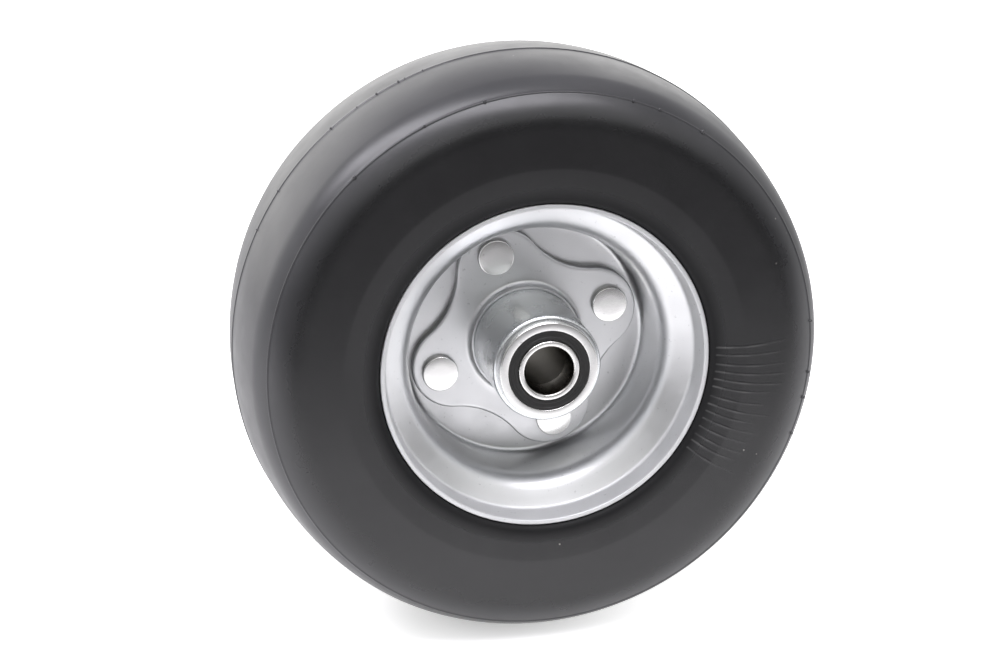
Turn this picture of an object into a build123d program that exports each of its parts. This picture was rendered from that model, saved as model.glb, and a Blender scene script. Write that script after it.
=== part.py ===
from build123d import *
import os
from math import atan2, cos, degrees, hypot, pi, radians, sin, sqrt

# Flat-free wheel of the 9 x 3.50-4 class for a mower deck or a garden cart.
# A solid moulded tyre sits on two stamped rim halves, riveted together between two lobed hub flanges.
# The hub tube turns on two sealed ball bearings, which a spacer sleeve keeps apart on the axle.
# Millimetres. The axle is the Y axis, the origin is the wheel's centre, and the front looks along -Y.
# Sections are drawn in the XY plane as (radius, place along the axle). The rear mirrors the front.

# Tyre
tyre_diameter = 228.6
tyre_width = 88.9
crown_radius = 141.0
shoulder_radius = 18.5
sidewall_break_radius = 78.5
sidewall_break_rounding = 12.0
bead_face_width = 86.2
bead_edge_rounding = 3.0
bead_fit = 0.15
mould_line_spread = 77.6
mould_line_width = 1.0
mould_line_height = 0.35

# Rim halves, by their visible inner face
rim_sheet = 2.0
rim_width = 84.4
rim_diameter = 128.8
bead_seat_diameter = 101.6
throat_width = 54.0
throat_diameter = 99.8
lip_root_width = 66.0
lip_root_diameter = 122.4
disc_bend = 2.2
throat_bend = 10.0
lip_bend = 2.0
lip_edge_rounding = 0.6

# Hub tube and hub flanges
hub_tube_diameter = 42.0
hub_tube_rounding = 1.5
flange_sheet = 3.5
flange_edge_rounding = 1.0
flange_lobes = 4
flange_turn = 19.0
lobe_centre_radius = 29.3
lobe_radius = 17.2
valley_radius = 33.4
neck_height = 3.6
neck_wall = 0.9
neck_bend = 2.2

# Rivets
rivet_circle_diameter = 72.0
rivet_shank_diameter = 8.0
rivet_head_diameter = 14.2
rivet_head_height = 2.2
rivet_head_rounding = 0.5

# Bearings
axle_diameter = 19.05
hub_length = 91.4
bearing_diameter = 34.925
bearing_width = 12.7
bearing_flange_diameter = 38.1
bearing_flange_thickness = 2.5
inner_ring_diameter = 23.5
inner_ring_proud = 0.3
outer_ring_bore = 30.3
ball_diameter = 4.7625
ball_count = 10
ball_clearance = 0.2
ring_chamfer = 0.45
seal_diameter = 31.8
seal_thickness = 1.0
seal_recess = 0.3
seal_lip_clearance = 0.3
cage_wall = 1.9
cage_back = 1.1
cage_prong = 1.6

# Places worked out from the sizes above
tyre_radius = tyre_diameter / 2
tyre_half = tyre_width / 2
seat_radius = bead_seat_diameter / 2
lip_radius = rim_diameter / 2
tube_radius = hub_tube_diameter / 2
axle_radius = axle_diameter / 2
bearing_radius = bearing_diameter / 2
inner_ring_radius = inner_ring_diameter / 2
seal_radius = seal_diameter / 2
flange_face = rim_sheet + flange_sheet
inner_ring_face = hub_length / 2
outer_ring_face = inner_ring_face - inner_ring_proud
bearing_back = inner_ring_face - bearing_width
tube_end = outer_ring_face - bearing_flange_thickness
ball_plane = inner_ring_face - bearing_width / 2
pitch_radius = (axle_diameter + bearing_diameter) / 4
pocket_radius = ball_diameter / 2 + ball_clearance

os.makedirs("parts", exist_ok=True)


def polar(radius, angle):
    """A point in a sketch at this distance from the axle and this angle in degrees."""
    return (radius * cos(radians(angle)), radius * sin(radians(angle)))


def band(inner_radius, outer_radius, low, high, mode=Mode.ADD):
    """A rectangle in a ring's section, between two radii and two places along the axle."""
    with Locations(((inner_radius + outer_radius) / 2, (low + high) / 2)):
        Rectangle(outer_radius - inner_radius, high - low, mode=mode)


def write_front_and_rear(front, name):
    """Write a front piece, and the rear piece that mirrors it across the wheel's middle."""
    front.part.label = f"{name}_front"
    export_step(front.part, f"parts/{name}_front.step")
    with BuildPart() as rear:
        mirror(front.part, about=Plane.XZ)
    rear.part.label = f"{name}_rear"
    export_step(rear.part, f"parts/{name}_rear.step")


# Visible face of the front rim half, from the hub tube out to the lip's edge
rim_face = [
    (tube_radius, -rim_sheet),
    (seat_radius - rim_sheet, -rim_sheet),
    (throat_diameter / 2, -throat_width / 2),
    (lip_root_diameter / 2, -lip_root_width / 2),
    (lip_radius - rim_sheet, -rim_width / 2),
]
rim_bends = [disc_bend, throat_bend, lip_bend]

# Rim halves: one sheet each, bent from disc to bowl, flange and turned-out lip
with BuildPart() as rim:
    with BuildSketch(Plane.XY):
        with BuildLine():
            FilletPolyline(*rim_face, radius=rim_bends)
            offset(amount=rim_sheet, side=Side.LEFT)
        make_face()
    revolve(axis=Axis.Y)
    fillet(rim.faces().sort_by(Axis.Y)[0].edges(), lip_edge_rounding)
    with BuildSketch(Plane.XZ):
        with PolarLocations(rivet_circle_diameter / 2, flange_lobes, start_angle=flange_turn):
            Circle(rivet_shank_diameter / 2)
    extrude(amount=rim_sheet, both=True, mode=Mode.SUBTRACT)
write_front_and_rear(rim, "rim")

# Hollow of the front rim half, with its lip drawn on well past the tyre, to seat the tyre round it
lip_slope = (rim_face[-1][0] - rim_face[-2][0]) / (rim_face[-1][1] - rim_face[-2][1])
lip_drawn_on = (rim_face[-2][0] + lip_slope * (-tyre_width - rim_face[-2][1]), -tyre_width)
with BuildSketch(Plane.XY) as rim_hollow:
    with BuildLine():
        rim_line = FilletPolyline(*rim_face[:-1], lip_drawn_on, radius=rim_bends)
        Polyline(rim_line @ 1, (0, -tyre_width), (0, -rim_sheet), rim_line @ 0)
    make_face()

# Outline of the front half of the tyre's section: crown and shoulder are arcs that touch
crown_centre = tyre_radius - crown_radius
shoulder_place = tyre_half - shoulder_radius
shoulder_centre = crown_centre + sqrt((crown_radius - shoulder_radius) ** 2 - shoulder_place**2)
shoulder_lean = atan2(shoulder_place, shoulder_centre - crown_centre)
shoulder_turn = (shoulder_lean + pi / 2) / 2
shoulder_start = (
    crown_centre + crown_radius * cos(shoulder_lean),
    -crown_radius * sin(shoulder_lean),
)
shoulder_middle = (
    shoulder_centre + shoulder_radius * cos(shoulder_turn),
    -shoulder_place - shoulder_radius * sin(shoulder_turn),
)
seat_edge_radius = seat_radius + bead_fit
bead_half = bead_face_width / 2

# Mould lines: one round the crown and one on each shoulder, as low round beads
mould_line_radius = mould_line_width / 2
mould_line_sink = mould_line_radius - mould_line_height
shoulder_line_place = mould_line_spread / 2
shoulder_line_radius = shoulder_centre + sqrt(
    (shoulder_radius - mould_line_sink) ** 2 - (shoulder_line_place - shoulder_place) ** 2
)

# Tyre: solid from the tread to the rim
with BuildPart() as tyre:
    with BuildSketch(Plane.XY) as section:
        with BuildLine():
            inner_side = Polyline(
                (tyre_radius, 0),
                (seat_edge_radius, 0),
                (seat_edge_radius, -bead_half),
                (lip_radius + bead_fit, -bead_half),
                (sidewall_break_radius, -tyre_half),
                (shoulder_centre, -tyre_half),
            )
            ThreePointArc(inner_side @ 1, shoulder_middle, shoulder_start)
            RadiusArc(shoulder_start, inner_side @ 0, -crown_radius)
        make_face()
        offset(rim_hollow.sketch, rim_sheet + bead_fit, mode=Mode.SUBTRACT)
        sidewall_break = section.vertices().sort_by_distance((sidewall_break_radius, -tyre_half))[0]
        fillet(sidewall_break, sidewall_break_rounding)
        bead_edge = section.vertices().sort_by_distance((lip_radius + bead_fit, -bead_half))[0]
        fillet(bead_edge, bead_edge_rounding)
        mirror(about=Plane.XZ)
        with Locations(
            (shoulder_line_radius, -shoulder_line_place),
            (tyre_radius - mould_line_sink, 0),
            (shoulder_line_radius, shoulder_line_place),
        ):
            Circle(mould_line_radius)
    revolve(axis=Axis.Y)
tyre.part.label = "tyre"
export_step(tyre.part, "parts/tyre.step")

# Lobed outline of a hub flange: each lobe arc touches the valley arcs beside it
lobe_step = 360 / flange_lobes
lobe_along = lobe_centre_radius * cos(radians(lobe_step / 2))
lobe_across = lobe_centre_radius * sin(radians(lobe_step / 2))
lobe_excess = lobe_radius - valley_radius
valley_centre = (lobe_centre_radius**2 - lobe_excess**2) / (2 * (lobe_along + lobe_excess))
touch_share = lobe_radius / (valley_centre + lobe_excess)
touch_along = lobe_along + touch_share * (valley_centre - lobe_along)
touch_across = lobe_across - touch_share * lobe_across
touch_radius = hypot(touch_along, touch_across)
touch_angle = lobe_step / 2 - degrees(atan2(touch_across, touch_along))

# Hub flanges: lobed plates on the rim discs, each with a neck drawn up round the hub tube
neck_radius = tube_radius + neck_wall
neck_foot_radius = neck_radius + 2 * neck_bend
neck_end = flange_face + neck_height
with BuildPart() as hub_flange:
    with BuildSketch(Plane.XZ.offset(rim_sheet)):
        with BuildLine():
            for lobe in range(flange_lobes):
                lobe_angle = flange_turn + lobe * lobe_step
                lobe_arc = ThreePointArc(
                    polar(touch_radius, lobe_angle - touch_angle),
                    polar(lobe_centre_radius + lobe_radius, lobe_angle),
                    polar(touch_radius, lobe_angle + touch_angle),
                )
                ThreePointArc(
                    lobe_arc @ 1,
                    polar(valley_radius, lobe_angle + lobe_step / 2),
                    polar(touch_radius, lobe_angle + lobe_step - touch_angle),
                )
        make_face()
    extrude(amount=flange_sheet)
    fillet(hub_flange.faces().sort_by(Axis.Y)[0].edges(), flange_edge_rounding)
    with BuildSketch(Plane.XY):
        with BuildLine():
            neck_side = FilletPolyline(
                (neck_radius, -neck_end),
                (neck_radius, -flange_face),
                (neck_foot_radius, -flange_face),
                radius=neck_bend,
            )
            Polyline(
                neck_side @ 1,
                (neck_foot_radius, -rim_sheet),
                (tube_radius, -rim_sheet),
                (tube_radius, -neck_end),
                neck_side @ 0,
            )
        make_face()
    revolve(axis=Axis.Y)
    with BuildSketch(Plane.XZ.offset(rim_sheet)):
        Circle(tube_radius)
        with PolarLocations(rivet_circle_diameter / 2, flange_lobes, start_angle=flange_turn):
            Circle(rivet_shank_diameter / 2)
    extrude(amount=flange_sheet + neck_height, mode=Mode.SUBTRACT)
write_front_and_rear(hub_flange, "hub_flange")

# Hub tube: plain tube, bored for the bearings, through both rim discs and both flanges
with BuildPart() as hub_tube:
    with BuildSketch(Plane.XY):
        band(bearing_radius, tube_radius, -tube_end, tube_end)
    revolve(axis=Axis.Y)
    fillet(hub_tube.edges().filter_by(GeomType.CIRCLE).sort_by(SortBy.RADIUS)[-2:], hub_tube_rounding)
hub_tube.part.label = "hub_tube"
export_step(hub_tube.part, "parts/hub_tube.step")

# Rivets: one shank through flange, discs and flange, with a flat head at each end
with BuildPart() as rivets:
    with BuildSketch(Plane.XZ):
        with PolarLocations(rivet_circle_diameter / 2, flange_lobes, start_angle=flange_turn):
            Circle(rivet_shank_diameter / 2)
    extrude(amount=flange_face, both=True)
    for end in (-1, 1):
        with BuildSketch(Plane.XZ.offset(end * flange_face)):
            with PolarLocations(rivet_circle_diameter / 2, flange_lobes, start_angle=flange_turn):
                Circle(rivet_head_diameter / 2)
        extrude(amount=end * rivet_head_height)
    head_edges = rivets.edges().filter_by(GeomType.CIRCLE).group_by(Axis.Y)
    fillet(head_edges[0] + head_edges[-1], rivet_head_rounding)
rivets.part.label = "rivets"
export_step(rivets.part, "parts/rivets.step")

# Bearing outer rings: a raceway, a seat for each seal, and a flange that stops on the tube's end
seal_depth = seal_recess + seal_thickness
with BuildPart() as outer_ring:
    with BuildSketch(Plane.XY):
        band(outer_ring_bore / 2, bearing_radius, -outer_ring_face, -bearing_back)
        band(outer_ring_bore / 2, bearing_flange_diameter / 2, -outer_ring_face, -tube_end)
        band(0, seal_radius, -outer_ring_face, seal_depth - outer_ring_face, mode=Mode.SUBTRACT)
        band(0, seal_radius, -bearing_back - seal_depth, -bearing_back, mode=Mode.SUBTRACT)
        with Locations((pitch_radius, -ball_plane)):
            Circle(pocket_radius, mode=Mode.SUBTRACT)
    revolve(axis=Axis.Y)
    flange_rims = outer_ring.edges().filter_by(GeomType.CIRCLE).sort_by(SortBy.RADIUS)[-2:]
    chamfer(flange_rims.sort_by(Axis.Y)[0], ring_chamfer)
write_front_and_rear(outer_ring, "outer_ring")

# Bearing inner rings: bored for the axle
with BuildPart() as inner_ring:
    with BuildSketch(Plane.XY):
        band(axle_radius, inner_ring_radius, -inner_ring_face, -bearing_back)
        with Locations((pitch_radius, -ball_plane)):
            Circle(pocket_radius, mode=Mode.SUBTRACT)
    revolve(axis=Axis.Y)
    chamfer(inner_ring.faces().sort_by(Axis.Y)[0].edges(), ring_chamfer)
write_front_and_rear(inner_ring, "inner_ring")

# Seals: they sit in the outer ring and stop just short of the inner ring
seal_bore_radius = inner_ring_radius + seal_lip_clearance
with BuildPart() as outer_seal:
    with BuildSketch(Plane.XY):
        band(seal_bore_radius, seal_radius, seal_recess - outer_ring_face, seal_depth - outer_ring_face)
    revolve(axis=Axis.Y)
write_front_and_rear(outer_seal, "outer_seal")

with BuildPart() as inner_seal:
    with BuildSketch(Plane.XY):
        band(seal_bore_radius, seal_radius, -bearing_back - seal_depth, -bearing_back - seal_recess)
    revolve(axis=Axis.Y)
write_front_and_rear(inner_seal, "inner_seal")

# Balls: one ring of them in each bearing
with BuildPart() as balls:
    with Locations(Plane.XZ.offset(ball_plane)):
        with PolarLocations(pitch_radius, ball_count):
            Sphere(ball_diameter / 2)
write_front_and_rear(balls, "balls")

# Cages: a moulded ring with round pockets that open towards the outer seal
with BuildPart() as cage:
    with BuildSketch(Plane.XY):
        band(
            pitch_radius - cage_wall / 2,
            pitch_radius + cage_wall / 2,
            -ball_plane - cage_prong,
            -ball_plane + pocket_radius + cage_back,
        )
    revolve(axis=Axis.Y)
    with Locations(Plane.XZ.offset(ball_plane)):
        with PolarLocations(pitch_radius, ball_count):
            Sphere(pocket_radius, mode=Mode.SUBTRACT)
write_front_and_rear(cage, "cage")

# Bearing spacer: the sleeve on the axle between the two inner rings
with BuildPart() as bearing_spacer:
    with BuildSketch(Plane.XY):
        band(axle_radius, inner_ring_radius, -bearing_back, bearing_back)
    revolve(axis=Axis.Y)
bearing_spacer.part.label = "bearing_spacer"
export_step(bearing_spacer.part, "parts/bearing_spacer.step")
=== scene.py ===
import bpy
import numpy
import random
from math import acos, atan2, ceil, cos, degrees, hypot, pi, radians, sin, sqrt, tan
from mathutils import Matrix, Vector, noise


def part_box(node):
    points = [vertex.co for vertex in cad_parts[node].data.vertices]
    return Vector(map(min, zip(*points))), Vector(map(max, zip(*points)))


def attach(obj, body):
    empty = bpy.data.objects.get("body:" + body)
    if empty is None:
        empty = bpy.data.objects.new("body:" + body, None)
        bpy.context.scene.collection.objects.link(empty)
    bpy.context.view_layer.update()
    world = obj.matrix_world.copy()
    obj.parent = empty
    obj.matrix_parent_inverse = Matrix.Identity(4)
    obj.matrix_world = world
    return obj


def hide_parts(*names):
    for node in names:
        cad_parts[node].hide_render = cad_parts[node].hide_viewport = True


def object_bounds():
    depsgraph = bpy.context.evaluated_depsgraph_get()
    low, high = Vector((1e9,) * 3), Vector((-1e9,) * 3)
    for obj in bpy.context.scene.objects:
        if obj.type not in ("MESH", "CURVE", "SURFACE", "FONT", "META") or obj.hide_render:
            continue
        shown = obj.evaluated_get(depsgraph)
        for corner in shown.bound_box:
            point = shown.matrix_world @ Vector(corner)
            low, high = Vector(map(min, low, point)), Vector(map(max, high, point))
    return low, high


# Flat-free wheel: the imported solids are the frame, and each visible one gets a finer formed piece.
# The axle is the Y axis, the front looks along -Y, and +Z is up.
# Sections are drawn as (radius, place along the axle) in millimetres, and turned into metres when drawn.

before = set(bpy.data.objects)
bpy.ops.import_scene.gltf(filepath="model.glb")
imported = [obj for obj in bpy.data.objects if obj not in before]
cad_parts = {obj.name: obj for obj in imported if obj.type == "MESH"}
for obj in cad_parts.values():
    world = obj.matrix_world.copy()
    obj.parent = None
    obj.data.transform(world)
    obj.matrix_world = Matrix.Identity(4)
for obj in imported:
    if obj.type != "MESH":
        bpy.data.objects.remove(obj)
cad_low, cad_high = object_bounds()

MM = 0.001
merge_distance = 1e-6
random.seed(7)


def node_reach(node):
    """Largest radius and front and rear ends of a CAD node, in millimetres."""
    low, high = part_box(node)
    return high.x / MM, low.y / MM, high.y / MM


# Main sizes read from the frame
crest_radius, tyre_front, _ = node_reach("tyre")
lip_radius, lip_front, _ = node_reach("rim_front")
tube_radius, tube_front, tube_rear = node_reach("hub_tube")
_, neck_front, _ = node_reach("hub_flange_front")
bearing_flange_radius, outer_ring_front, bearing_back = node_reach("outer_ring_front")
inner_ring_radius, inner_ring_front, inner_ring_back = node_reach("inner_ring_front")
seal_radius, seal_front, seal_back = node_reach("outer_seal_front")

# Tyre
line_height = 0.35
line_bead_radius = 0.5
skin_allowance = 0.03
tyre_radius = crest_radius - line_height - skin_allowance
tyre_half = -tyre_front
crown_radius = 141.0
shoulder_radius = 18.5
sidewall_break_radius = 78.5
sidewall_break_rounding = 12.0
bead_half = 43.1
bead_edge_rounding = 3.0
bead_fit = 0.15
shoulder_line_place = 38.8
line_zone = 0.62
front_gap = 1.2
rear_gap = 4.0
wave_scale = 0.035
wave_depth = 0.06

# Rim halves
rim_sheet = 2.0
seat_radius = 50.8
throat_radius = 49.9
throat_place = -27.0
lip_root_radius = 61.2
lip_root_place = -33.0
disc_bend = 2.2
throat_bend = 10.0
lip_bend = 2.0
lip_edge_rounding = 0.6

# Hub flanges
flange_face = -5.5
flange_edge_rounding = 1.0
flange_lobes = 4
flange_turn = 19.0
lobe_centre_radius = 29.3
lobe_radius = 17.2
valley_radius = 33.4
neck_wall = 0.9
neck_bend = 2.2
neck_tip_rounding = 0.3

# Rivets
rivet_circle_radius = 36.0
rivet_shank_radius = 4.0
rivet_head_radius = 7.1
rivet_head_height = 2.2
rivet_head_rounding = 0.5
rivet_crown = 0.12

# Hub tube and bearings
tube_end_rounding = 1.5
bearing_radius = 17.4625
bearing_flange_thickness = 2.5
outer_ring_bore = 15.15
axle_radius = 9.525
ring_edge_rounding = 0.45
bore_edge_rounding = 0.9
seal_bore_radius = 12.05
seal_groove_depth = 0.35
front_seat_depth = 1.0
rear_seat_depth = 1.3


# Drawing helpers

def corner_arc(before, corner, after, radius, steps):
    """Points of the arc that rounds a corner between its two neighbours."""
    to_before = (Vector(before) - Vector(corner)).normalized()
    to_after = (Vector(after) - Vector(corner)).normalized()
    half_angle = acos(max(-1.0, min(1.0, to_before.dot(to_after)))) / 2
    bisector = (to_before + to_after).normalized()
    centre = Vector(corner) + bisector * (radius / sin(half_angle))
    start = Vector(corner) + to_before * (radius / tan(half_angle)) - centre
    end = Vector(corner) + to_after * (radius / tan(half_angle)) - centre
    sweep = start.angle_signed(end)
    points = []
    for step in range(steps + 1):
        turn = -sweep * step / steps
        points.append((
            centre.x + start.x * cos(turn) - start.y * sin(turn),
            centre.y + start.x * sin(turn) + start.y * cos(turn),
        ))
    return points


def rounded(corners, radii, steps=6):
    """A closed or open line with its corners rounded, a radius of 0 keeping the corner."""
    points = []
    for place, (corner, radius) in enumerate(zip(corners, radii)):
        if radius == 0:
            points.append(tuple(corner))
        else:
            before = corners[place - 1]
            after = corners[(place + 1) % len(corners)]
            points += corner_arc(before, corner, after, radius, steps)
    return points


def set_out(corners, amount):
    """The same open line, moved to its left by an amount."""
    lines = []
    for start, end in zip(corners, corners[1:]):
        along = (Vector(end) - Vector(start)).normalized()
        left = Vector((-along.y, along.x)) * amount
        lines.append((Vector(start) + left, along))
    moved = [tuple(lines[0][0])]
    for (first, along), (second, other) in zip(lines, lines[1:]):
        across = along.x * other.y - along.y * other.x
        gap = second - first
        share = (gap.x * other.y - gap.y * other.x) / across
        moved.append(tuple(first + along * share))
    last_left = Vector((-lines[-1][1].y, lines[-1][1].x)) * amount
    moved.append(tuple(Vector(corners[-1]) + last_left))
    return moved


def spaced(points, gap):
    """The same line with extra points, so that no run is longer than the gap."""
    filled = [points[0]]
    for start, end in zip(points, points[1:]):
        runs = max(1, ceil(hypot(end[0] - start[0], end[1] - start[1]) / gap))
        for run in range(1, runs + 1):
            share = run / runs
            filled.append((
                start[0] + (end[0] - start[0]) * share,
                start[1] + (end[1] - start[1]) * share,
            ))
    return filled


def draw_line(name, points):
    """A new piece that holds one line, drawn by extruding a single vertex from point to point."""
    if bpy.context.object and bpy.context.object.mode != "OBJECT":
        bpy.ops.object.mode_set(mode="OBJECT")
    bpy.ops.object.select_all(action="DESELECT")
    bpy.ops.mesh.primitive_plane_add(size=MM, location=(0, 0, 0))
    piece = bpy.context.object
    piece.name = name
    piece.data.name = name
    bpy.ops.object.mode_set(mode="EDIT")
    bpy.ops.mesh.select_all(action="SELECT")
    bpy.ops.mesh.merge(type="CENTER")
    bpy.ops.transform.translate(value=points[0])
    for start, end in zip(points, points[1:]):
        step = Vector(end) - Vector(start)
        bpy.ops.mesh.extrude_region_move(TRANSFORM_OT_translate={"value": step})
    bpy.ops.object.mode_set(mode="OBJECT")
    return piece


def at_turn(section, turn):
    """A section's points in metres, stood up at an angle round the axle."""
    return [
        Vector((radius * cos(turn), place, radius * sin(turn))) * MM
        for radius, place in section
    ]


def close_mesh():
    """Merge the active piece's doubled points and turn its faces outwards."""
    bpy.ops.object.mode_set(mode="EDIT")
    bpy.ops.mesh.select_all(action="SELECT")
    bpy.ops.mesh.remove_doubles(threshold=merge_distance)
    bpy.ops.mesh.normals_make_consistent(inside=False)
    bpy.ops.object.mode_set(mode="OBJECT")


def sweep_round(piece, steps, angle=2 * pi):
    """Sweep a piece's line round the axle, by an angle that grows from +X to +Z."""
    screw = piece.modifiers.new("round_the_axle", "SCREW")
    screw.axis = "Y"
    screw.angle = -angle
    screw.steps = steps
    screw.render_steps = steps
    bpy.ops.object.modifier_apply(modifier=screw.name)


def spin_piece(name, section, steps=192):
    """A ring-shaped piece: a closed section swept once round the axle."""
    closed = list(section) + [section[0]]
    piece = draw_line(name, at_turn(closed, 0.0))
    sweep_round(piece, steps)
    close_mesh()
    return piece


def join_pieces(pieces, name):
    """Several pieces joined into one of this name."""
    bpy.ops.object.select_all(action="DESELECT")
    for piece in pieces:
        piece.select_set(True)
    bpy.context.view_layer.objects.active = pieces[0]
    bpy.ops.object.join()
    joined = bpy.context.object
    joined.name = name
    joined.data.name = name
    return joined


def smooth_piece(piece, angle=35.0):
    """Smooth shading that keeps the edges sharper than an angle."""
    bpy.ops.object.select_all(action="DESELECT")
    piece.select_set(True)
    bpy.context.view_layer.objects.active = piece
    bpy.ops.object.shade_smooth_by_angle(angle=radians(angle))


def mirrored_copy(piece, name):
    """A copy of a front piece with its own mesh, mirrored to the rear."""
    bpy.ops.object.select_all(action="DESELECT")
    piece.select_set(True)
    bpy.context.view_layer.objects.active = piece
    bpy.ops.object.duplicate()
    copy = bpy.context.object
    copy.name = name
    copy.data.name = name
    copy.scale = (1, -1, 1)
    bpy.ops.object.transform_apply(location=False, rotation=False, scale=True)
    close_mesh()
    return copy


def fit(piece, finish, body, slot, *nodes):
    """Give a finished piece its material and its body, and hide the nodes that it stands for; its slot is
    not used.
    """
    piece.data.materials.clear()
    piece.data.materials.append(finish)
    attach(piece, body)
    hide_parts(*nodes)


# Material helpers

def new_finish(name):
    """A material with its shader, ready for nodes."""
    finish = bpy.data.materials.new(name)
    finish.use_nodes = True
    return finish, finish.node_tree.nodes["Principled BSDF"]


def add(finish, kind, **settings):
    """A node in a finish, with its settings made by name and its sockets filled by name."""
    made = finish.node_tree.nodes.new(kind)
    sockets = settings.pop("sockets", {})
    for name, value in settings.items():
        setattr(made, name, value)
    for name, value in sockets.items():
        made.inputs[name].default_value = value
    return made


def join(finish, out_socket, in_socket):
    finish.node_tree.links.new(out_socket, in_socket)


def surface_place(finish):
    """Object coordinates, which stay with the piece."""
    return add(finish, "ShaderNodeTexCoord").outputs["Object"]


def noise_at(finish, place, scale, detail=2.0, rough=0.5):
    """A noise pattern, scale in spots a metre."""
    made = add(finish, "ShaderNodeTexNoise",
               sockets={"Scale": scale, "Detail": detail, "Roughness": rough})
    join(finish, place, made.inputs["Vector"])
    return made.outputs["Fac"]


def ramp(finish, value, *stops):
    """A colour ramp: each stop is a place and a grey level or colour."""
    made = add(finish, "ShaderNodeValToRGB")
    elements = made.color_ramp.elements
    while len(elements) < len(stops):
        elements.new(0.5)
    for element, (place, tone) in zip(elements, stops):
        element.position = place
        element.color = (tone, tone, tone, 1) if isinstance(tone, float) else (*tone, 1)
    join(finish, value, made.inputs["Fac"])
    return made.outputs["Color"]


def level(finish, value, low, high, from_low=0.3, from_high=0.7):
    """A value mapped to a range."""
    made = add(finish, "ShaderNodeMapRange",
               sockets={"From Min": from_low, "From Max": from_high, "To Min": low, "To Max": high})
    join(finish, value, made.inputs["Value"])
    return made.outputs["Result"]


def blend_colour(finish, share, first, second):
    """Two colours mixed by a share; each is a socket or a colour."""
    made = add(finish, "ShaderNodeMix", data_type="RGBA")
    join(finish, share, made.inputs["Factor"])
    for value, name in ((first, "A"), (second, "B")):
        socket = [s for s in made.inputs if s.name == name and s.type == "RGBA"][0]
        if isinstance(value, bpy.types.NodeSocket):
            join(finish, value, socket)
        else:
            socket.default_value = (*value, 1)
    return [s for s in made.outputs if s.type == "RGBA"][0]


def combine(finish, how, first, second):
    """A sum, product or other step on two values, each a socket or a number."""
    made = add(finish, "ShaderNodeMath", operation=how)
    for value, socket in ((first, made.inputs[0]), (second, made.inputs[1])):
        if isinstance(value, bpy.types.NodeSocket):
            join(finish, value, socket)
        else:
            socket.default_value = value
    return made.outputs[0]


def axle_distance(finish, place):
    """Distance from the axle, in metres."""
    across = add(finish, "ShaderNodeVectorMath", operation="MULTIPLY")
    across.inputs[1].default_value = (1, 0, 1)
    join(finish, place, across.inputs[0])
    radius = add(finish, "ShaderNodeVectorMath", operation="LENGTH")
    join(finish, across.outputs["Vector"], radius.inputs[0])
    return radius.outputs["Value"]


def raise_surface(finish, shader, height, strength, distance):
    """Bump on a shader from a height."""
    made = add(finish, "ShaderNodeBump", sockets={"Strength": strength, "Distance": distance})
    join(finish, height, made.inputs["Height"])
    join(finish, made.outputs["Normal"], shader.inputs["Normal"])


# Finishes: zones are distances from the axle in metres
tread_zone = (0.097, 0.109)
soft_tread_zone = (0.092, 0.104)
beside_rim_zone = (0.0665, 0.0715)
skin_dark = (0.009, 0.009, 0.0095)
skin_light = (0.0125, 0.0125, 0.013)
# Tread tones: partly dust, partly painted sheen that lightens the tread where light grazes it
dust_and_sheen_dark = (0.041, 0.041, 0.044)
dust_and_sheen_light = (0.055, 0.055, 0.058)
speck_colour = (0.30, 0.29, 0.27)
# Painted highlight along the crests of the sidewall wrinkles
ridge_highlight_colour = (0.075, 0.075, 0.074)
oil_dark = (0.05, 0.043, 0.034)
oil_light = (0.17, 0.155, 0.13)
bore_soft_edge = 0.0002
lip_soft_edge = 0.0005
lip_dulling = 0.26


def moulded_tyre():
    """Black moulded foam rubber with a soft gloss, faint clouding and a few pale specks."""
    finish, shader = new_finish("moulded_tyre")
    place = surface_place(finish)
    clouds = noise_at(finish, place, 30.0, 3.0)
    skin = ramp(finish, clouds, (0.3, skin_dark), (0.7, skin_light))
    radius = axle_distance(finish, place)
    tread = level(finish, radius, 0.0, 1.0, *tread_zone)
    beside_rim = level(finish, radius, 1.0, 0.0, *beside_rim_zone)
    # The tread is paler than the sidewalls: partly dust, partly painted sheen
    dust_and_sheen = ramp(finish, clouds, (0.3, dust_and_sheen_dark), (0.7, dust_and_sheen_light))
    skin = blend_colour(finish, tread, skin, dust_and_sheen)
    cells = add(finish, "ShaderNodeTexVoronoi", sockets={"Scale": 190.0})
    join(finish, place, cells.inputs["Vector"])
    dots = level(finish, cells.outputs["Distance"], 1.0, 0.0, 0.05, 0.09)
    chosen = add(finish, "ShaderNodeSeparateColor")
    join(finish, cells.outputs["Color"], chosen.inputs["Color"])
    few = level(finish, chosen.outputs["Red"], 0.0, 1.0, 0.93, 0.94)
    patches = level(finish, noise_at(finish, place, 22.0, 1.0), 0.0, 1.0, 0.5, 0.62)
    specks = combine(finish, "MULTIPLY", combine(finish, "MULTIPLY", dots, few), patches)
    colour = blend_colour(finish, specks, skin, speck_colour)
    # The wrinkle crests are painted lighter: painted highlight
    ridge_highlights = add(finish, "ShaderNodeAttribute", attribute_name="ridge_highlight")
    colour = blend_colour(finish, ridge_highlights.outputs["Fac"], colour, ridge_highlight_colour)
    join(finish, colour, shader.inputs["Base Color"])
    gloss = noise_at(finish, place, 70.0, 4.0, 0.6)
    soft_tread = level(finish, radius, 0.0, 0.09, *soft_tread_zone)
    dull = combine(finish, "ADD", combine(finish, "MULTIPLY", beside_rim, 0.3), soft_tread)
    join(finish, combine(finish, "ADD", level(finish, gloss, 0.19, 0.27), dull), shader.inputs["Roughness"])
    join(finish, level(finish, beside_rim, 0.5, 0.14, 0.0, 1.0), shader.inputs["Specular IOR Level"])
    shader.inputs["IOR"].default_value = 1.5
    grain = noise_at(finish, place, 1500.0, 2.0)
    raise_surface(finish, shader, grain, 0.03, 0.0003)
    return finish


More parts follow.
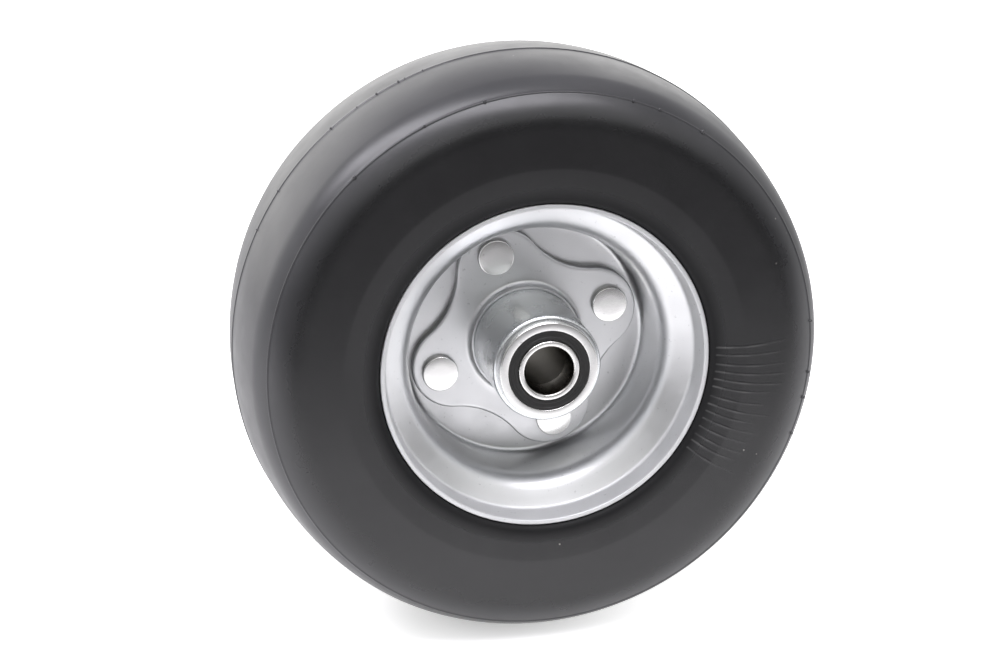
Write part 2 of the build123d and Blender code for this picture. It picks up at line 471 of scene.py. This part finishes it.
def zinc_plate(name, tone, rough_low, rough_high, flecks=0.0,
               oiled_bore=0.0, brushed_from=1.0, painted_side_shade_from=1.0):
    """Bright plated steel: satin metal with faint clouding, fine forming marks and dark flecks.

    The last three are distances from the axle: within the first a bore is oiled, past the second the metal
    is brushed, and past the third its side faces, the walls and edges, are painted darker as painted shade.
    """
    finish, shader = new_finish(name)
    place = surface_place(finish)
    clouds = noise_at(finish, place, 40.0, 3.0, 0.5)
    dull = tuple(channel * 0.95 for channel in tone)
    colour = ramp(finish, clouds, (0.35, dull), (0.65, tone))
    if flecks > 0:
        spots = level(finish, noise_at(finish, place, 620.0, 3.0, 0.6), 0.0, 1.0, 0.65, 0.71)
        spread = level(finish, noise_at(finish, place, 95.0, 2.0), 0.0, flecks, 0.42, 0.60)
        dark = tuple(channel * 0.22 for channel in tone)
        colour = blend_colour(finish, combine(finish, "MULTIPLY", spots, spread), colour, dark)
    if oiled_bore > 0:
        inside = level(finish, axle_distance(finish, place), 1.0, 0.0,
                       oiled_bore - bore_soft_edge, oiled_bore + bore_soft_edge)
        streaks = noise_at(finish, place, 260.0, 3.0)
        oil = ramp(finish, streaks, (0.35, oil_dark), (0.68, oil_light))
        colour = blend_colour(finish, inside, colour, oil)
    # Faces whose normals turn away from the axle's direction are painted darker past a radius: painted
    # shade on walls and sides
    if painted_side_shade_from < 1.0:
        facing = add(finish, "ShaderNodeSeparateXYZ")
        join(finish, add(finish, "ShaderNodeNewGeometry").outputs["Normal"], facing.inputs["Vector"])
        flat = combine(finish, "ABSOLUTE", facing.outputs["Y"], 0.0)
        edge = level(finish, flat, 0.8, 0.0, 0.35, 0.85)
        outer = level(finish, axle_distance(finish, place), 0.0, 1.0, painted_side_shade_from, painted_side_shade_from + 0.0005)
        dark = tuple(channel * 0.25 for channel in tone)
        colour = blend_colour(finish, combine(finish, "MULTIPLY", edge, outer), colour, dark)
    join(finish, colour, shader.inputs["Base Color"])
    shader.inputs["Metallic"].default_value = 1.0
    gloss = noise_at(finish, place, 110.0, 4.0, 0.5)
    rough = level(finish, gloss, rough_low, rough_high)
    if brushed_from < 1.0:
        brushed = level(finish, axle_distance(finish, place), 0.0, lip_dulling,
                        brushed_from - lip_soft_edge, brushed_from + lip_soft_edge)
        rough = combine(finish, "ADD", rough, brushed)
    join(finish, rough, shader.inputs["Roughness"])
    grain = noise_at(finish, place, 900.0, 3.0)
    raise_surface(finish, shader, grain, 0.03, 0.0002)
    return finish


def plain_rubber(name, tone, rough):
    """Matt rubber or nylon with faint clouding."""
    finish, shader = new_finish(name)
    place = surface_place(finish)
    clouds = noise_at(finish, place, 220.0, 3.0)
    colour = ramp(finish, clouds, (0.3, tuple(c * 0.75 for c in tone)), (0.7, tone))
    join(finish, colour, shader.inputs["Base Color"])
    join(finish, level(finish, clouds, rough - 0.08, rough + 0.08), shader.inputs["Roughness"])
    raise_surface(finish, shader, noise_at(finish, place, 1800.0), 0.08, 0.0002)
    return finish


tyre_finish = moulded_tyre()
zinc_finish = zinc_plate("zinc_sheet", (0.68, 0.685, 0.69), 0.34, 0.42, 0.35, brushed_from=0.0605)
# The flange lobes' walls and the rivets' sides get painted shade
flange_finish = zinc_plate("zinc_flange", (0.68, 0.685, 0.69), 0.32, 0.40, 0.35, painted_side_shade_from=0.0275)
tube_finish = zinc_plate("zinc_tube", (0.70, 0.72, 0.73), 0.22, 0.30, 0.5)
rivet_finish = zinc_plate("rivet_head_steel", (0.84, 0.835, 0.82), 0.18, 0.26, 0.5, painted_side_shade_from=0.0)
ring_finish = zinc_plate("ground_ring_steel", (0.84, 0.835, 0.82), 0.16, 0.26, 0.8)
inner_ring_finish = zinc_plate("bored_ring_steel", (0.80, 0.79, 0.77), 0.20, 0.32, 0.9, 0.0098)
bore_finish = zinc_plate("oiled_sleeve_steel", (0.11, 0.10, 0.085), 0.30, 0.42, 0.6)
ball_finish = zinc_plate("polished_ball_steel", (0.80, 0.80, 0.80), 0.06, 0.12)
seal_finish = plain_rubber("seal_rubber", (0.009, 0.0085, 0.008), 0.66)
cage_finish = plain_rubber("cage_nylon", (0.62, 0.58, 0.48), 0.5)


# Rim halves: one sheet each, bent from disc to bowl, flange and turned-out lip
rim_face = [
    (tube_radius, -rim_sheet),
    (seat_radius - rim_sheet, -rim_sheet),
    (throat_radius, throat_place),
    (lip_root_radius, lip_root_place),
    (lip_radius - rim_sheet, lip_front),
]
rim_back = set_out(rim_face, rim_sheet)


def form_rim_half():
    bends = [0, disc_bend, throat_bend, lip_bend, lip_edge_rounding]
    back_bends = [0, disc_bend + rim_sheet, throat_bend - rim_sheet,
                  lip_bend + rim_sheet, lip_edge_rounding]
    section = rounded(rim_face + rim_back[::-1], bends + back_bends[::-1], 8)
    rim = spin_piece("rim_front_formed", spaced(section, 4.0), 256)
    smooth_piece(rim)
    return rim


rim_front = form_rim_half()
rim_rear = mirrored_copy(rim_front, "rim_rear_formed")
fit(rim_front, zinc_finish, "wheel", "zinc", "rim_front")
fit(rim_rear, zinc_finish, "wheel", "zinc", "rim_rear")


# Tyre
crown_centre = tyre_radius - crown_radius
shoulder_place = tyre_half - shoulder_radius
shoulder_centre = crown_centre + sqrt((crown_radius - shoulder_radius) ** 2 - shoulder_place**2)
shoulder_lean = atan2(shoulder_place, shoulder_centre - crown_centre)
shoulder_line_turn = acos((shoulder_line_place - shoulder_place) / shoulder_radius)
line_sink = line_bead_radius - line_height
line_reach = sqrt(line_bead_radius**2 - line_sink**2)


def line_rise(distance):
    """Height of a mould line's round bead at a distance from its middle."""
    if abs(distance) >= line_reach:
        return 0.0
    return sqrt(line_bead_radius**2 - distance**2) - line_sink


def stations(start, end, step, fine_at, fine_reach, fine_step):
    """Places from start to end, closer together round one place."""
    places = {start, end}
    count = ceil((end - start) / step)
    places.update(start + (end - start) * n / count for n in range(count + 1))
    places = {p for p in places if abs(p - fine_at) > fine_reach or p in (start, end)}
    fine_count = round(fine_reach / fine_step)
    fine = (fine_at + fine_step * n for n in range(-fine_count, fine_count + 1))
    places.update(p for p in fine if start <= p <= end)
    return sorted(places)


def tyre_half_section(sidewall_gap):
    """Half of the tyre's section, from the middle of its seat round the front to the crown's middle."""
    seat = set_out(rim_face, rim_sheet + bead_fit)
    lip_run = (seat[4][0] - seat[3][0]) / (seat[4][1] - seat[3][1])
    bead_edge = (seat[3][0] + lip_run * (-bead_half - seat[3][1]), -bead_half)
    corners = [
        (seat_radius + bead_fit, 0.0),
        seat[2],
        seat[3],
        bead_edge,
        (sidewall_break_radius, -tyre_half),
        (shoulder_centre, -tyre_half),
    ]
    bends = [0, throat_bend - rim_sheet - bead_fit, lip_bend + rim_sheet + bead_fit,
             bead_edge_rounding, sidewall_break_rounding, 0]
    line = rounded(corners, bends, 6)
    inside = [p for p in line if p[1] > -bead_half + bead_edge_rounding and p[0] < lip_radius + 1]
    outside = line[len(inside):]
    section = spaced(inside, 6.0)[:-1] + spaced(inside[-1:] + outside, sidewall_gap)
    fine_reach = line_zone / shoulder_radius
    shoulder_turns = stations(0.0, pi / 2 - shoulder_lean, radians(4.0),
                              shoulder_line_turn, fine_reach, fine_reach / 4)
    for turn in shoulder_turns[1:]:
        rise = line_rise((turn - shoulder_line_turn) * shoulder_radius)
        reach = shoulder_radius + rise
        section.append((shoulder_centre + reach * sin(turn), -shoulder_place - reach * cos(turn)))
    fine_reach = line_zone / crown_radius
    crown_turns = stations(-shoulder_lean, 0.0, radians(1.3), 0.0, fine_reach, fine_reach / 4)
    for turn in crown_turns[1:]:
        reach = crown_radius + line_rise(turn * crown_radius)
        section.append((crown_centre + reach * cos(turn), reach * sin(turn)))
    return section


# Fine wrinkles on the front sidewall, from the rim's lip outwards
wrinkle_first = 3.2
wrinkle_step = 2.78
wrinkle_count = 14
wrinkle_start = 64.6
wrinkle_end = 97.0
wrinkle_bow = 0.75
wrinkle_height = 0.16
wrinkle_spread = 0.30
bell_base = 2.718
fine_sector = (-41.0, 8.0)
fine_sector_steps = 280
plain_sector_steps = 220


def wrinkles():
    """Each wrinkle's angle, outer end, strength and phase."""
    made = []
    for number in range(wrinkle_count):
        angle = wrinkle_first - wrinkle_step * number + random.uniform(-0.35, 0.35)
        end = wrinkle_end - 0.7 * number + random.uniform(-3.0, 3.0)
        made.append((angle, end, random.uniform(0.75, 1.15), random.uniform(0, 6.28)))
    return made


def wrinkle_rise(radius, angle, lines):
    """Height of the wrinkles at a place on the front sidewall."""
    total = 0.0
    for line_angle, end, strength, phase in lines:
        share = (radius - wrinkle_start) / (end - wrinkle_start)
        if share <= 0 or share >= 1:
            continue
        middle = line_angle - wrinkle_bow * sin(pi * share)
        distance = radians(angle - middle) * radius
        if abs(distance) > 4 * wrinkle_spread:
            continue
        fade = min(1.0, share * 12) * (1 - share) ** 0.8 * (0.75 + 0.35 * sin(radius * 0.55 + phase))
        total += wrinkle_height * strength * fade * bell_base ** (-(distance / wrinkle_spread) ** 2)
    return total


# Small nubs of rubber left along the mould lines: angle round the wheel, and width
shoulder_nubs = (
    (132.6, 1.5), (115.5, 1.3), (102.7, 1.5), (71.9, 1.4), (66.0, 1.2),
    (55.6, 1.5), (5.3, 1.3), (-6.0, 1.2), (-11.7, 1.4), (-19.9, 1.2),
)
crown_nubs = (
    (130.3, 1.1), (124.0, 0.9), (119.5, 1.1), (145.9, 1.0),
    (109.7, 0.9), (114.8, 1.1), (113.4, 0.8), (154.4, 1.0),
)


def form_nub(name, turn, lean, foot, width):
    """One nub, turned as a small drop and stood on the tread along its outward way."""
    height = width * 0.62
    section = [(0.0, -height), (width * 0.22, -height * 0.93), (width * 0.40, -height * 0.62),
               (width * 0.50, -height * 0.10), (width * 0.54, height * 0.45)]
    nub = draw_line(name, at_turn(section, 0.0))
    sweep_round(nub, 12)
    outward = Vector((cos(turn) * cos(lean), -sin(lean), sin(turn) * cos(lean)))
    nub.rotation_mode = "QUATERNION"
    nub.rotation_quaternion = Vector((0, -1, 0)).rotation_difference(outward)
    nub.location = at_turn([foot], turn)[0]
    bpy.ops.object.transform_apply(location=True, rotation=True, scale=False)
    close_mesh()
    return nub


def form_nubs():
    nubs = []
    shoulder_out = pi / 2 - shoulder_line_turn
    reach = shoulder_radius + line_height * 0.5
    shoulder_foot = (
        shoulder_centre + reach * cos(shoulder_out),
        -shoulder_place - reach * sin(shoulder_out),
    )
    for number, (angle, width) in enumerate(shoulder_nubs):
        name = f"shoulder_nub_{number + 1}"
        nubs.append(form_nub(name, radians(angle), shoulder_out, shoulder_foot, width))
    for number, (angle, width) in enumerate(crown_nubs):
        name = f"crown_nub_{number + 1}"
        nubs.append(form_nub(name, radians(angle), 0.0, (tyre_radius, 0.0), width))
    return nubs


def form_tyre():
    front_half = tyre_half_section(front_gap)
    rear_half = [(radius, -place) for radius, place in tyre_half_section(rear_gap)]
    section = front_half + rear_half[-2::-1]
    low, high = (radians(a) for a in fine_sector)
    fine = draw_line("tyre_fine_sector", at_turn(section, low))
    sweep_round(fine, fine_sector_steps, high - low)
    plain = draw_line("tyre_plain_sector", at_turn(section, high))
    sweep_round(plain, plain_sector_steps, 2 * pi - (high - low))
    tyre = join_pieces([fine, plain], "tyre_moulded")
    close_mesh()
    count = len(tyre.data.vertices)
    places = numpy.empty(count * 3)
    outward = numpy.empty(count * 3)
    tyre.data.vertices.foreach_get("co", places)
    tyre.data.vertices.foreach_get("normal", outward)
    places = places.reshape(-1, 3) / MM
    outward = outward.reshape(-1, 3)
    lines = wrinkles()
    ridge_highlights = numpy.zeros(count)
    for number, (x, y, z) in enumerate(places.tolist()):
        radius = hypot(x, z)
        if radius < lip_radius + 1.0 and abs(y) < bead_half - 2:
            continue
        wave = noise.noise(Vector((x, y, z)) * wave_scale) - 1
        places[number] += outward[number] * wave * wave_depth
        if y < -bead_half - 0.2 and wrinkle_start < radius < wrinkle_end + 4:
            rise = wrinkle_rise(radius, degrees(atan2(z, x)), lines)
            places[number, 1] -= rise
            ridge_highlights[number] = min(1.0, rise / wrinkle_height)
    tyre.data.vertices.foreach_set("co", (places * MM).ravel())
    # Each point's share of the painted highlight on the wrinkle crests
    marks = tyre.data.attributes.new("ridge_highlight", "FLOAT", "POINT")
    marks.data.foreach_set("value", ridge_highlights)
    tyre.data.update()
    tyre = join_pieces([tyre] + form_nubs(), "tyre_moulded")
    smooth_piece(tyre, 50.0)
    return tyre


tyre = form_tyre()
fit(tyre, tyre_finish, "wheel", "tyre", "tyre")


# Hub flanges: lobed plates with a neck drawn up round the hub tube
lobe_step = 360 / flange_lobes
lobe_along = lobe_centre_radius * cos(radians(lobe_step / 2))
lobe_across = lobe_centre_radius * sin(radians(lobe_step / 2))
lobe_excess = lobe_radius - valley_radius
valley_centre = (lobe_centre_radius**2 - lobe_excess**2) / (2 * (lobe_along + lobe_excess))
valley_bend = valley_centre - valley_radius
touch_share = lobe_radius / (valley_centre + lobe_excess)
touch_along = lobe_along + touch_share * (valley_centre - lobe_along)
touch_across = lobe_across - touch_share * lobe_across
touch_angle = lobe_step / 2 - degrees(atan2(touch_across, touch_along))


def flange_outline(angle):
    """Radius of the lobed outline at an angle in degrees."""
    from_lobe = (angle - flange_turn + lobe_step / 2) % lobe_step - lobe_step / 2
    if abs(from_lobe) <= touch_angle:
        turn = radians(from_lobe)
        across = lobe_centre_radius * sin(turn)
        return lobe_centre_radius * cos(turn) + sqrt(lobe_radius**2 - across**2)
    turn = radians(lobe_step / 2 - abs(from_lobe))
    return valley_centre * cos(turn) - sqrt(valley_bend**2 - (valley_centre * sin(turn)) ** 2)


def form_hub_flange():
    neck_radius = tube_radius + neck_wall
    neck_foot = neck_radius + 2 * neck_bend
    reach = lobe_centre_radius + lobe_radius
    edge_start = reach - 2.0
    corners = [
        (tube_radius, -rim_sheet),
        (neck_foot, -rim_sheet),
        (edge_start, -rim_sheet),
        (reach, -rim_sheet),
        (reach, flange_face),
        (edge_start, flange_face),
        (neck_foot, flange_face),
        (neck_radius, flange_face),
        (neck_radius, neck_front),
        (tube_radius, neck_front),
    ]
    bends = [0, 0, 0, 0, flange_edge_rounding, 0, 0, neck_bend, neck_tip_rounding, neck_tip_rounding]
    flange = spin_piece("hub_flange_front_formed", spaced(rounded(corners, bends, 6), 2.5), 360)
    for vertex in flange.data.vertices:
        x, y, z = vertex.co / MM
        radius = hypot(x, z)
        if radius <= neck_foot + 0.001:
            continue
        outline = flange_outline(degrees(atan2(z, x)))
        if radius >= edge_start - 0.001:
            wanted = radius + outline - reach
        else:
            share = (radius - neck_foot) / (edge_start - neck_foot)
            wanted = neck_foot + share * (edge_start + outline - reach - neck_foot)
        vertex.co.x *= wanted / radius
        vertex.co.z *= wanted / radius
    flange.data.update()
    smooth_piece(flange)
    return flange


flange_front = form_hub_flange()
flange_rear = mirrored_copy(flange_front, "hub_flange_rear_formed")
fit(flange_front, flange_finish, "wheel", "zinc", "hub_flange_front")
fit(flange_rear, flange_finish, "wheel", "zinc", "hub_flange_rear")


# Hub tube
def form_hub_tube():
    corners = [
        (bearing_radius, tube_front),
        (tube_radius, tube_front),
        (tube_radius, tube_rear),
        (bearing_radius, tube_rear),
    ]
    section = rounded(corners, [0, tube_end_rounding, tube_end_rounding, 0], 8)
    tube = spin_piece("hub_tube_turned", spaced(section, 6.0), 192)
    smooth_piece(tube)
    return tube


hub_tube = form_hub_tube()
fit(hub_tube, tube_finish, "wheel", "zinc", "hub_tube")


# Rivets: one is turned, copied to each lobe and joined into the group
def form_rivets():
    head_face = flange_face - rivet_head_height
    half = [
        (0.0, head_face - rivet_crown),
        (rivet_head_radius * 0.5, head_face - rivet_crown * 0.75),
        (rivet_head_radius, head_face),
        (rivet_head_radius, flange_face),
        (rivet_shank_radius, flange_face),
    ]
    bends = [0, 0, rivet_head_rounding, 0, 0]
    front = rounded(half, bends, 6)
    section = front + [(radius, -place) for radius, place in reversed(front)]
    rivets = []
    for number in range(flange_lobes):
        rivet = draw_line(f"rivet_{number + 1}", at_turn(section, 0.0))
        sweep_round(rivet, 48)
        turn = radians(flange_turn + lobe_step * number)
        rivet.location = Vector((cos(turn), 0, sin(turn))) * rivet_circle_radius * MM
        bpy.ops.object.transform_apply(location=True, rotation=False, scale=False)
        close_mesh()
        rivets.append(rivet)
    group = join_pieces(rivets, "rivets_headed")
    smooth_piece(group)
    return group


rivets = form_rivets()
fit(rivets, rivet_finish, "wheel", "rivet_steel", "rivets")


# Bearing rings and seals
def form_outer_ring():
    seat = seal_front + front_seat_depth
    corners = [
        (seal_radius, outer_ring_front),
        (bearing_flange_radius, outer_ring_front),
        (bearing_flange_radius, outer_ring_front + bearing_flange_thickness),
        (bearing_radius, outer_ring_front + bearing_flange_thickness),
        (bearing_radius, bearing_back),
        (seal_radius, bearing_back),
        (seal_radius, bearing_back - rear_seat_depth),
        (outer_ring_bore, bearing_back - rear_seat_depth),
        (outer_ring_bore, seat),
        (seal_radius, seat),
    ]
    bends = [0.2, ring_edge_rounding, 0, 0, 0.3, 0, 0, 0, 0, 0]
    ring = spin_piece("outer_ring_front_ground", rounded(corners, bends, 5), 160)
    smooth_piece(ring)
    return ring


def form_inner_ring():
    corners = [
        (axle_radius, inner_ring_front),
        (inner_ring_radius, inner_ring_front),
        (inner_ring_radius, inner_ring_back),
        (axle_radius, inner_ring_back),
    ]
    bends = [bore_edge_rounding, ring_edge_rounding, 0.2, 0.2]
    ring = spin_piece("inner_ring_front_ground", spaced(rounded(corners, bends, 5), 2.0), 160)
    smooth_piece(ring)
    return ring


def form_outer_seal():
    width = seal_radius - seal_bore_radius
    corners = [
        (seal_bore_radius, seal_front),
        (seal_bore_radius + width * 0.28, seal_front),
        (seal_bore_radius + width * 0.38, seal_front + seal_groove_depth),
        (seal_bore_radius + width * 0.70, seal_front + seal_groove_depth),
        (seal_bore_radius + width * 0.80, seal_front),
        (seal_radius, seal_front),
        (seal_radius, seal_back),
        (seal_bore_radius, seal_back),
    ]
    bends = [0.12, 0.15, 0.15, 0.15, 0.15, 0.1, 0, 0]
    seal = spin_piece("outer_seal_front_moulded", rounded(corners, bends, 4), 160)
    smooth_piece(seal)
    return seal


for form, finish, body, slot, node in (
    (form_outer_ring, ring_finish, "wheel", "ring_steel", "outer_ring"),
    (form_inner_ring, inner_ring_finish, "axle_sleeve", "ring_steel", "inner_ring"),
    (form_outer_seal, seal_finish, "wheel", "seal", "outer_seal"),
):
    front = form()
    rear = mirrored_copy(front, front.name.replace("front", "rear"))
    fit(front, finish, body, slot, f"{node}_front")
    fit(rear, finish, body, slot, f"{node}_rear")

# Solids that stay as they are, with their own finishes
for node, finish in (
    ("bearing_spacer", bore_finish),
    ("inner_seal_front", seal_finish),
    ("inner_seal_rear", seal_finish),
    ("balls_front", ball_finish),
    ("balls_rear", ball_finish),
    ("cage_front", cage_finish),
    ("cage_rear", cage_finish),
):
    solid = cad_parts[node]
    solid.data.materials.clear()
    solid.data.materials.append(finish)


# Floor
floor_height = cad_low.z
bpy.ops.object.select_all(action="DESELECT")
bpy.ops.mesh.primitive_plane_add(size=12.0, location=(0, 0, floor_height))
floor = bpy.context.object
floor.name = "floor"
floor_finish, floor_shader = new_finish("white_floor")
floor_shader.inputs["Roughness"].default_value = 0.9
floor_shader.inputs["Specular IOR Level"].default_value = 0.0
floor_shader.inputs["Emission Color"].default_value = (1, 1, 1, 1)
floor_rays = add(floor_finish, "ShaderNodeLightPath")
floor_split = add(floor_finish, "ShaderNodeSeparateXYZ")
join(floor_finish, surface_place(floor_finish), floor_split.inputs["Vector"])
floor_depth = level(floor_finish, floor_split.outputs["Y"], 0.0, 1.0, -0.8, 0.4)
floor_shown = combine(floor_finish, "MAXIMUM", floor_rays.outputs["Is Glossy Ray"],
                      floor_rays.outputs["Is Transmission Ray"])
# Reflections see the floor with painted light: dark far in front, a bright glowing band just in front of
# the wheel, paler behind
mirrored_tone = ramp(floor_finish, floor_depth, (0.0, 0.16), (0.28, 0.22), (0.34, 0.42), (0.42, 0.62),
                     (0.55, 0.80), (0.66, 0.72), (0.76, 0.55), (1.0, 0.55))
join(floor_finish, blend_colour(floor_finish, floor_shown, (0.80, 0.80, 0.80), mirrored_tone),
     floor_shader.inputs["Base Color"])
mirrored_glow = ramp(floor_finish, floor_depth, (0.0, 0.0), (0.34, 0.05), (0.45, 0.36), (0.54, 0.48),
                     (0.60, 0.70), (0.68, 0.55), (0.78, 0.38), (1.0, 0.38))
# For the camera the floor's glow is lowered round the wheel's foot, which paints shade round the contact on
# top of its own shadow
foot_distance = add(floor_finish, "ShaderNodeVectorMath", operation="DISTANCE")
foot_distance.inputs[1].default_value = (-0.012, 0.0, 0.0)
join(floor_finish, surface_place(floor_finish), foot_distance.inputs[0])
seen_glow = level(floor_finish, foot_distance.outputs["Value"], 0.36, 0.85, 0.012, 0.062)
floor_seen = combine(floor_finish, "MULTIPLY", floor_rays.outputs["Is Camera Ray"], seen_glow)
floor_mirrored = combine(floor_finish, "MULTIPLY", floor_shown, mirrored_glow)
floor_glow = combine(floor_finish, "ADD", floor_seen, floor_mirrored)
join(floor_finish, floor_glow, floor_shader.inputs["Emission Strength"])
floor.data.materials.append(floor_finish)

# World: white for the camera; for reflections bright behind the wheel and darker behind the camera
world = bpy.data.worlds.new("studio")
bpy.context.scene.world = world
world.use_nodes = True
background = world.node_tree.nodes["Background"]
rays = add(world, "ShaderNodeLightPath")
sky_way = add(world, "ShaderNodeTexCoord")
sky_split = add(world, "ShaderNodeSeparateXYZ")
join(world, sky_way.outputs["Generated"], sky_split.inputs["Vector"])
back_sky = ramp(world, sky_split.outputs["Z"], (0.0, 0.8), (0.42, 0.8), (0.60, 0.30), (1.0, 0.25))
front_sky = ramp(world, sky_split.outputs["Z"],
                 (0.0, 0.16), (0.18, 0.18), (0.31, 0.85), (0.55, 0.80), (1.0, 0.25))
front_share = level(world, sky_split.outputs["Y"], 1.0, 0.0, -0.45, -0.05)
sky = blend_colour(world, front_share, back_sky, front_sky)
white_share = rays.outputs["Is Camera Ray"]
colour = blend_colour(world, white_share, sky, (1.0, 1.0, 1.0))
join(world, colour, background.inputs["Color"])
background.inputs["Strength"].default_value = 1.0


def soft_lamp(name, place, aim, width, height, radiance, tone, roll=0.0):
    """A large rectangular lamp, its power set from how bright its face is."""
    lamp = bpy.data.lights.new(name, "AREA")
    lamp.shape = "RECTANGLE"
    lamp.size = width
    lamp.size_y = height
    lamp.energy = radiance * pi * width * height
    lamp.color = tone
    holder = bpy.data.objects.new(name, lamp)
    bpy.context.scene.collection.objects.link(holder)
    holder.location = place
    holder.rotation_euler = (Vector(aim) - Vector(place)).to_track_quat("-Z", "Y").to_euler()
    holder.rotation_euler.rotate_axis("Z", radians(roll))


soft_lamp("back_panel", (-0.6, 2.0, 0.50), (-0.1, 0, 0.15), 4.2, 1.5, 0.95, (1.0, 0.985, 0.96))
soft_lamp("overhead_strip", (-0.45, -0.25, 1.2), (-0.45, -0.25, 0), 2.3, 0.65, 7.8,
          (0.96, 0.94, 1.0), -35.0)
soft_lamp("front_key", (0.30, -1.25, 0.95), (0, 0, 0), 1.7, 0.9, 0.25, (1.0, 1.0, 1.0))

# Camera at the photograph's viewing angle
camera_turn = radians(-13.12)
camera_rise = radians(18.77)
camera_distance = 1.0
focal_pixels = 2536.0
image_width = 1000
sensor_width = 36.0
wheel_shift = Vector((21.158, -0.2852)) * camera_distance / focal_pixels
back = Vector((
    sin(camera_turn) * cos(camera_rise),
    -cos(camera_turn) * cos(camera_rise),
    sin(camera_rise),
))
right = Vector((cos(camera_turn), sin(camera_turn), 0))
up = back.cross(right)
eye = back * camera_distance - right * wheel_shift.x + up * wheel_shift.y
camera_data = bpy.data.cameras.new("camera")
camera_data.sensor_fit = "HORIZONTAL"
camera_data.sensor_width = sensor_width
camera_data.lens = sensor_width * focal_pixels / image_width
camera_data.clip_start = 0.01
camera = bpy.data.objects.new("camera", camera_data)
bpy.context.scene.collection.objects.link(camera)
camera.matrix_world = Matrix.Translation(eye) @ Matrix((right, up, back)).transposed().to_4x4()
bpy.context.scene.camera = camera

bpy.context.scene.view_settings.view_transform = "Standard"
